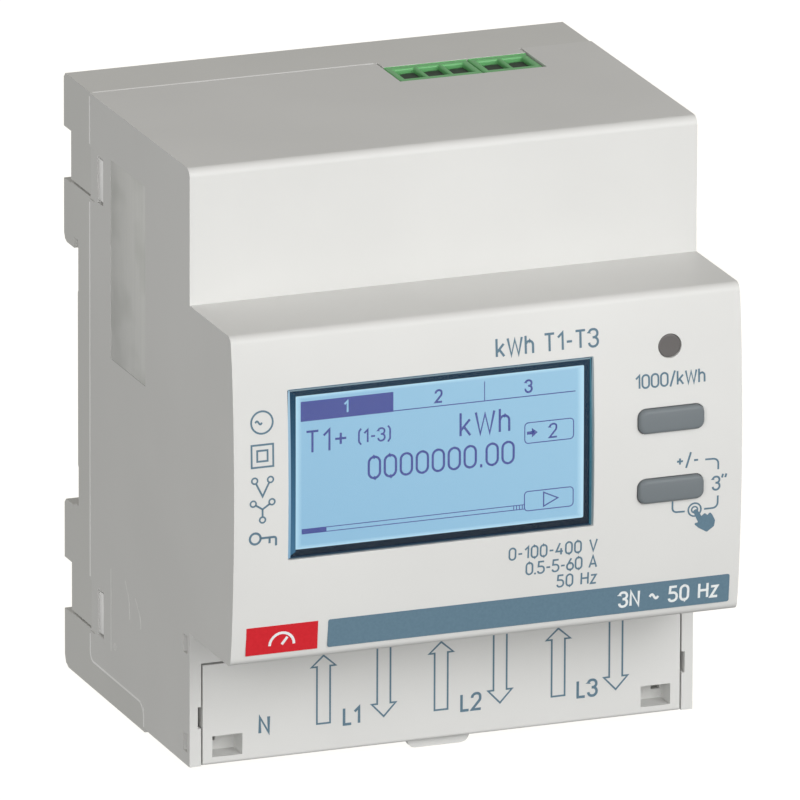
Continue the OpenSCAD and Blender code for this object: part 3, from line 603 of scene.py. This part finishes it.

# ---- Display -----------------------------------------------------------------
# Behind a clear polycarbonate lens lie a dark printed border and the display glass, lit from the
# back by an acrylic light guide. The glass draws the picture itself in violet-blue segments. What
# the light guide sends out is given to the glass, border, bevels and segments as their own glow;
# the glow of the lens bevels also holds a painted highlight at the top and painted shade at the
# right and bottom.


def lit_glass(name, colour, edge_colour, centre, half):
    """A backlit panel: brighter towards its upper right, and palest in a thin band at its border."""
    made = bpy.data.materials.new(name)
    made.use_nodes = True
    tree = made.node_tree
    shader = tree.nodes["Principled BSDF"]
    shader.inputs["Base Color"].default_value = linear("101418")
    shader.inputs["Roughness"].default_value = 0.3
    shader.inputs["Specular IOR Level"].default_value = 0.15
    shader.inputs["Emission Strength"].default_value = 1.0
    place = add_node(tree, "ShaderNodeTexCoord")
    local = add_node(tree, "ShaderNodeMapping", {"Location": (-centre[0] / half[0], 0, -centre[1] / half[1]),
                     "Scale": (1 / half[0], 0, 1 / half[1])}, {"Vector": (place, "Object")})
    part = add_node(tree, "ShaderNodeSeparateXYZ", links={"Vector": (local, "Vector")})
    across = add_node(tree, "ShaderNodeMath", {"operation": "ABSOLUTE"}, {0: (part, "X")})
    up = add_node(tree, "ShaderNodeMath", {"operation": "ABSOLUTE"}, {0: (part, "Z")})
    far = add_node(tree, "ShaderNodeMath", {"operation": "MAXIMUM"}, {0: (across, 0), 1: (up, 0)})
    border = add_node(tree, "ShaderNodeMapRange", {"From Min": 0.95, "From Max": 1.0}, {"Value": (far, "Value")})
    slope = add_node(tree, "ShaderNodeMath", {"operation": "ADD"}, {0: (part, "X"), 1: (part, "Z")})
    spread = add_node(tree, "ShaderNodeMapRange", {"From Min": -2.0, "From Max": 2.0}, {"Value": (slope, "Value")})
    level = add_node(tree, "ShaderNodeMath", {"operation": "MULTIPLY_ADD", 1: 0.3},
                     {0: (spread, "Result"), 2: (border, "Result")})
    tint = add_node(tree, "ShaderNodeValToRGB", links={"Fac": (level, "Value")})
    tint.color_ramp.elements[0].color, tint.color_ramp.elements[1].color = linear(colour), linear(edge_colour)
    tree.links.new(tint.outputs["Color"], shader.inputs["Emission Color"])
    return made


lcd_low, lcd_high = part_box("lcd_glass")
lcd_centre = ((lcd_low.x + lcd_high.x) / 2, (lcd_low.z + lcd_high.z) / 2)
# backlit glass: an even pale blue, palest in a thin band at its border
lit_glow = lit_glass("display_glass_backlit", "90BEDB", "B9E0F3", lcd_centre, (0.0202, 0.01045))
finish_node("lcd_glass", lit_glow)
# polished acrylic: bluish white with sharp highlights
light_guide = moulded_plastic("acrylic_light_guide", "E4EEF5", "D8E6F0", 0.1, 1.0, 0.002)
finish_node("backlight", light_guide)
finish_node("lcd_frame", acetal, 0.2)


def edge_lit(name, low_colour, high_colour, specular=0.1):
    """A polished or printed edge that glows with some light of the display, graded along its height; on the lens bevels
    the glow is also a painted highlight and painted shade.
    """
    made = bpy.data.materials.new(name)
    made.use_nodes = True
    tree = made.node_tree
    shader = tree.nodes["Principled BSDF"]
    shader.inputs["Base Color"].default_value = linear("0A0E12")
    shader.inputs["Specular IOR Level"].default_value = specular
    shader.inputs["Roughness"].default_value = 0.3
    shader.inputs["Emission Strength"].default_value = 1.0
    place = add_node(tree, "ShaderNodeTexCoord")
    part = add_node(tree, "ShaderNodeSeparateXYZ", links={"Vector": (place, "Object")})
    rise = add_node(tree, "ShaderNodeMapRange", {"From Min": lcd_low.z, "From Max": lcd_high.z},
                    {"Value": (part, "Z")})
    tint = add_node(tree, "ShaderNodeValToRGB", links={"Fac": (rise, "Result")})
    tint.color_ramp.elements[0].color, tint.color_ramp.elements[1].color = linear(low_colour), linear(high_colour)
    tree.links.new(tint.outputs["Color"], shader.inputs["Emission Color"])
    return made


# gloss ink on the back of the lens: near-black navy, and bluer low at the left, where light leaks in
border_ink = edge_lit("border_ink_navy", "14202E", "1A3347", 0.05)
finish_node("display_bezel", border_ink)
leak = bmesh.new()
ink_low, ink_high = (1000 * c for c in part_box("display_bezel"))
leak_outer, leak_inner = ink_low.x + 0.1, ink_low.x + 1.1
loft(leak, [[(leak_outer, y, ink_low.z + 0.1), (leak_inner, y, ink_low.z + 0.75),
             (leak_inner, y, ink_high.z - 0.75), (leak_outer, y, ink_high.z - 0.1)] for y in (-59.1, -59.19)])
make_piece("display_border_left", leak, edge_lit("border_ink_light_leak", "43708F", "1E3F56", 0.05), "meter_body")

# hard-coated clear polycarbonate: nearly unseen, with a weak reflection. The coat cuts the
# reflection, so the index is set well below the 1.58 of the bare plastic.
clear_plastic = bpy.data.materials.new("polycarbonate_clear_hard_coated")
clear_plastic.use_nodes = True
clear = clear_plastic.node_tree.nodes["Principled BSDF"]
clear.inputs["Base Color"].default_value = linear("FAFCFD")
clear.inputs["Transmission Weight"].default_value = 1.0
clear.inputs["IOR"].default_value = 1.2
waves = add_node(clear_plastic.node_tree, "ShaderNodeTexNoise", {"Scale": 60.0, "Detail": 1.0})
polish = add_node(clear_plastic.node_tree, "ShaderNodeMapRange", {"To Min": 0.01, "To Max": 0.05},
                  {"Value": (waves, "Fac")})
clear_plastic.node_tree.links.new(polish.outputs["Result"], clear.inputs["Roughness"])

# the curved lens, and along each of its four sides a polished bevel whose glow is painted light: the display's light at
# the left, a painted highlight at the top, painted shade at the right and bottom
lens_back = -59.15
win_low, win_high = (1000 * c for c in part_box("display_window"))
edge = (win_low.x + 0.14, win_low.z + 0.05, win_high.x - 0.2, win_high.z - 0.1)
face = (edge[0] + 0.2, edge[1] + 0.16, edge[2] - 0.18, edge[3] - 0.2)
steps = [face[1] + (face[3] - face[1]) * k / 12 for k in range(13)]
lens = bmesh.new()
loft(lens, [[(face[0], lens_back, z), (face[2], lens_back, z), nose_front(face[2], z, -0.15),
             nose_front(face[0], z, -0.15)] for z in steps])
make_piece("display_lens", lens, clear_plastic, "meter_body", "display_window", smooth=20)
# per side, the glow colours: display light at the left, painted highlight at the top, painted shade at the right and
# bottom
for side, low_colour, high_colour in (("left", "7FA7C3", "9FC0D6"), ("right", "2F5D6E", "3F7080"),
                                      ("bottom", "22384A", "22384A"), ("top", "7F95A0", "7F95A0")):
    bevel = bmesh.new()
    if side in ("left", "right"):
        outer, inner = (edge[0], face[0]) if side == "left" else (edge[2], face[2])
        rings = []
        for k in range(13):
            zo = edge[1] + (edge[3] - edge[1]) * k / 12
            rings.append([(outer, lens_back, zo), nose_front(outer, zo, -0.3), nose_front(inner, steps[k], -0.15),
                          (inner, lens_back, steps[k])])
    else:
        outer, inner = (edge[1], face[1]) if side == "bottom" else (edge[3], face[3])
        rings = [[(xo, lens_back, outer), nose_front(xo, outer, -0.3), nose_front(xi, inner, -0.15),
                  (xi, lens_back, inner)] for xo, xi in ((edge[0], face[0]), (edge[2], face[2]))]
    loft(bevel, rings)
    make_piece("display_lens_edge_" + side, bevel, edge_lit("polycarbonate_edge_painted_light_" + side, low_colour, high_colour, 0.2),
               "meter_body", smooth=20)

picture_left, picture_foot = lcd_centre[0] * 1000 - 20.2, lcd_centre[1] * 1000 - 10.45


def on_glass(x, z, proud):
    """A point on the face of the display glass, x and z counted from the picture's lower left corner."""
    return (picture_left + x, lens_back + 0.13 - proud, picture_foot + z)


# liquid-crystal segments: violet-blue, with a trace of the dot pattern
segment_ink = bpy.data.materials.new("display_segments_violet")
segment_ink.use_nodes = True
segment = segment_ink.node_tree.nodes["Principled BSDF"]
segment.inputs["Base Color"].default_value = linear("1B1C3A")
segment.inputs["Roughness"].default_value = 0.3
segment.inputs["Emission Strength"].default_value = 1.0
dots = add_node(segment_ink.node_tree, "ShaderNodeTexNoise", {"Scale": 3000.0})
glow = add_node(segment_ink.node_tree, "ShaderNodeValToRGB", links={"Fac": (dots, "Fac")})
glow.color_ramp.elements[0].color, glow.color_ramp.elements[1].color = linear("343F84"), linear("3D498E")
segment_ink.node_tree.links.new(glow.outputs["Color"], segment.inputs["Emission Color"])

screen = bmesh.new()
thin = {"surface": on_glass, "height": 0.02, "sunk": 0.01}


def seg_words(mesh, words, x, z, capital, weight, **more):
    """Words on the display glass."""
    write(mesh, words, x, z, capital, weight, on_glass, height=0.02, **more)


patch(screen, [(0.8, 17.35), (13.7, 17.35), (13.7, 20.05), (0.8, 20.05)], **thin)
stroke(screen, [(13.7, 17.45), (39.2, 17.45)], 0.13, **thin)
stroke(screen, [(26.45, 17.45), (26.45, 20.1)], 0.11, **thin)
seg_words(screen, "2", 19.6, 18.0, 1.6, 0.27)
seg_words(screen, "3", 32.2, 18.0, 1.6, 0.27)
seg_words(screen, "T1", 1.6, 13.05, 2.85, 0.3)
seg_words(screen, "+", 5.6, 13.05, 3.2, 0.3)
seg_words(screen, "(1-3)", 8.9, 13.6, 1.7, 0.24)
seg_words(screen, "kWh", 23.1, 13.0, 3.0, 0.31)
seg_words(screen, "0000000.00", 30.55, 8.6, 2.9, 0.31, right=True, spacing=2.3)
stroke(screen, [(32.1, 11.0, 0.5), (38.95, 11.0, 0.5), (38.95, 13.8, 0.5), (32.1, 13.8, 0.5)], 0.13,
       closed=True, **thin)
stroke(screen, [(32.4, 12.4), (33.3, 12.4)], 0.42, **thin)
patch(screen, [(33.1, 11.75), (33.9, 12.4), (33.1, 13.05)], **thin)
seg_words(screen, "2", 35.6, 11.5, 1.8, 0.24)
stroke(screen, [(32.1, 1.75, 0.5), (38.95, 1.75, 0.5), (38.95, 4.4, 0.5), (32.1, 4.4, 0.5)], 0.13,
       closed=True, **thin)
stroke(screen, [(34.8, 2.15), (36.8, 3.1), (34.8, 4.05)], 0.17, closed=True, **thin)
stroke(screen, [(1.0, 2.05), (32.1, 2.05), (32.1, 2.65), (1.0, 2.65)], 0.11, closed=True, **thin)
patch(screen, [(1.0, 2.05), (4.4, 2.05), (4.4, 2.65), (1.0, 2.65)], **thin)
for x in (30.6, 31.0, 31.4, 31.8):
    stroke(screen, [(x, 2.05), (x, 2.65)], 0.11, **thin)
make_piece("display_picture", screen, segment_ink, "meter_body")

tab_word = bmesh.new()
write(tab_word, "1", 6.9, 18.0, 1.5, 0.26, on_glass, height=0.035)
make_piece("display_picture_pale", tab_word, lit_glow, "meter_body")

# ---- Buttons and switches ----------------------------------------------------
# Each button is a cap of grey thermoplastic elastomer with a flange and stem, pushed in from the
# back. The stem presses the red plunger of a small switch on the display board.


def pill(x, z, width, height, r, y):
    """A ring of points: a rounded rectangle at depth y."""
    return [(p.x, y, p.y) for p in rounded_path(
        [(x - width / 2, z - height / 2, r), (x + width / 2, z - height / 2, r), (x + width / 2, z + height / 2, r),
         (x - width / 2, z + height / 2, r)], True, 7)]


# moulded elastomer: dull mid grey, its light soft at the rounded edge
button_grey = moulded_plastic("elastomer_grey_fine", "71787C", "6B7276", 0.5, 0.35, 0.012)
for name in ("button_upper", "button_lower"):
    low, high = (1000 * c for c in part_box(name))
    x, z = (low.x + high.x) / 2, (low.z + high.z) / 2
    front, back = low.y, high.y
    cap = bmesh.new()
    width, height, r = 9.2, 3.3, 1.1
    soft = 0.5
    rings = [pill(x, z, 4.0, 2.8, 0.3, back), pill(x, z, 4.0, 2.8, 0.3, -56.15), pill(x, z, 10.8, 4.9, 1.4, -56.2),
             pill(x, z, 10.8, 4.9, 1.4, -56.95), pill(x, z, width, height, r, -57.0)]
    for k in range(7):
        t = math.radians(90 * k / 6)
        inset = 2 * soft * (1 - math.cos(t))
        depth = front + 0.06 + soft * (1 - math.sin(t))
        rings.append(pill(x, z, width - inset, height - inset, r - inset / 2 * 0.8, depth))
    rings.append(pill(x, z, width - 2.2, height - 1.9, 0.6, front + 0.02))
    loft(cap, rings)
    make_piece(name + "_cap", cap, button_grey, name, name, smooth=50)
# red polyamide: dark and satin
cap_red = moulded_plastic("polyamide_red", "7A1E1B", "6C1816", 0.4, 0.5, 0.01)
finish_node("switch_plunger_upper", cap_red, 0.2)
finish_node("switch_plunger_lower", cap_red, 0.2)
finish_node("tact_switches", epoxy_black, 0.2)

# ---- Pulse light -------------------------------------------------------------
# A smoked acrylic light pipe ends just below the face of the case and carries the flash of a
# small clear-epoxy diode on the display board.

# smoked acrylic: warm dark grey with a thin gloss
smoked = moulded_plastic("acrylic_smoked", "686564", "605D5C", 0.35, 0.5, 0.01, 0.2)
finish_node("pulse_light_pipe", smoked, 0.2, 3)
# clear pink epoxy: pale and glossy
diode_epoxy = moulded_plastic("epoxy_clear_pink", "D8BFB8", "CBB0A8", 0.15, 1.0, 0.005)
finish_node("pulse_led", diode_epoxy, 0.2)

# ---- Signal connectors -------------------------------------------------------
# Two pluggable headers of green polyamide stand side by side in the top, with square tinned pins
# at the bottom of funnel-shaped openings. A dark block in each opening stands for the shade there.

# green polyamide: bright, with a slight gloss
header_green = moulded_plastic("polyamide_green", "74C07A", "69B470", 0.38, 0.5, 0.01, 0.1)
# tin plate on brass: soft bright grey
tin = metal("brass_tin_plated", "D5D2C8", "B2AFA5", 0.3, 0.4)
finish_node("signal_header_3way", header_green, 0.3)
finish_node("signal_header_2way", header_green, 0.3)
finish_node("header_pins", tin, 0.1)
throats = bmesh.new()
for x in (7.5, 11.0, 14.5, 19.45, 22.95):
    rings = []
    for z, side, deep in ((36.0, 1.1, 1.7), (40.2, 1.15, 1.8), (40.3, 1.1, 1.75)):
        rings.append([(p.x, p.y, z) for p in rounded_path(
            [(x + 0.2 - side, -10.75 - deep, 0.2), (x + 0.2 + side, -10.75 - deep, 0.2),
             (x + 0.2 + side, -10.75 + deep, 0.2), (x + 0.2 - side, -10.75 + deep, 0.8)], True, 4)])
    loft(throats, rings)
# the same polyamide in deep shade: near-black green
header_shade = moulded_plastic("polyamide_green_in_shade", "28352A", "202B22", 0.5, 0.5, 0.01)
make_piece("header_throats", throats, header_shade, "meter_body")
rims = bmesh.new()
for x0, x1 in ((5.15, 16.85), (17.1, 25.3)):
    loft(rims, [[(x0, -7.62, z), (x1, -7.62, z), (x1, -7.15, z), (x0, -7.15, z)] for z in (40.2, 40.95)])
make_piece("header_rear_rims", rims, header_green, "meter_body")

# ---- Terminal cover ----------------------------------------------------------
# The cover snaps over the terminals and is pulled off by the thin tab below it. A wire and a lead
# seal go through its two pockets. It is moulded like the case and printed with the connections.


def cover_front(x, z, proud):
    """A point on the flat front of the terminal cover, raised by proud millimetres."""
    return (x, -43.3 - proud, z)


finish_node("terminal_cover", case_grey, 0.15, 2)
scheme = bmesh.new()
write(scheme, "N", -25.75, -37.35, 2.2, 0.42, cover_front)
for name, x in (("L1", -13.9), ("L2", 2.7), ("L3", 19.2)):
    write(scheme, name, x, -37.5, 2.2, 0.36, cover_front, spacing=2.2)
for x in (-16.8, -0.2, 16.4):
    stroke(scheme, [(x, -27.6), (x + 1.7, -29.1), (x + 0.93, -29.1), (x + 0.93, -37.0), (x - 0.93, -37.0),
                    (x - 0.93, -29.1), (x - 1.7, -29.1)], 0.24, cover_front, True)
for x in (-8.3, 8.15, 24.6):
    stroke(scheme, [(x - 0.93, -27.3), (x - 0.93, -35.2), (x - 1.7, -35.2), (x, -37.0), (x + 1.7, -35.2),
                    (x + 0.93, -35.2), (x + 0.93, -27.3)], 0.24, cover_front)
make_piece("cover_print_blue", scheme, blue_ink, "terminal_cover")
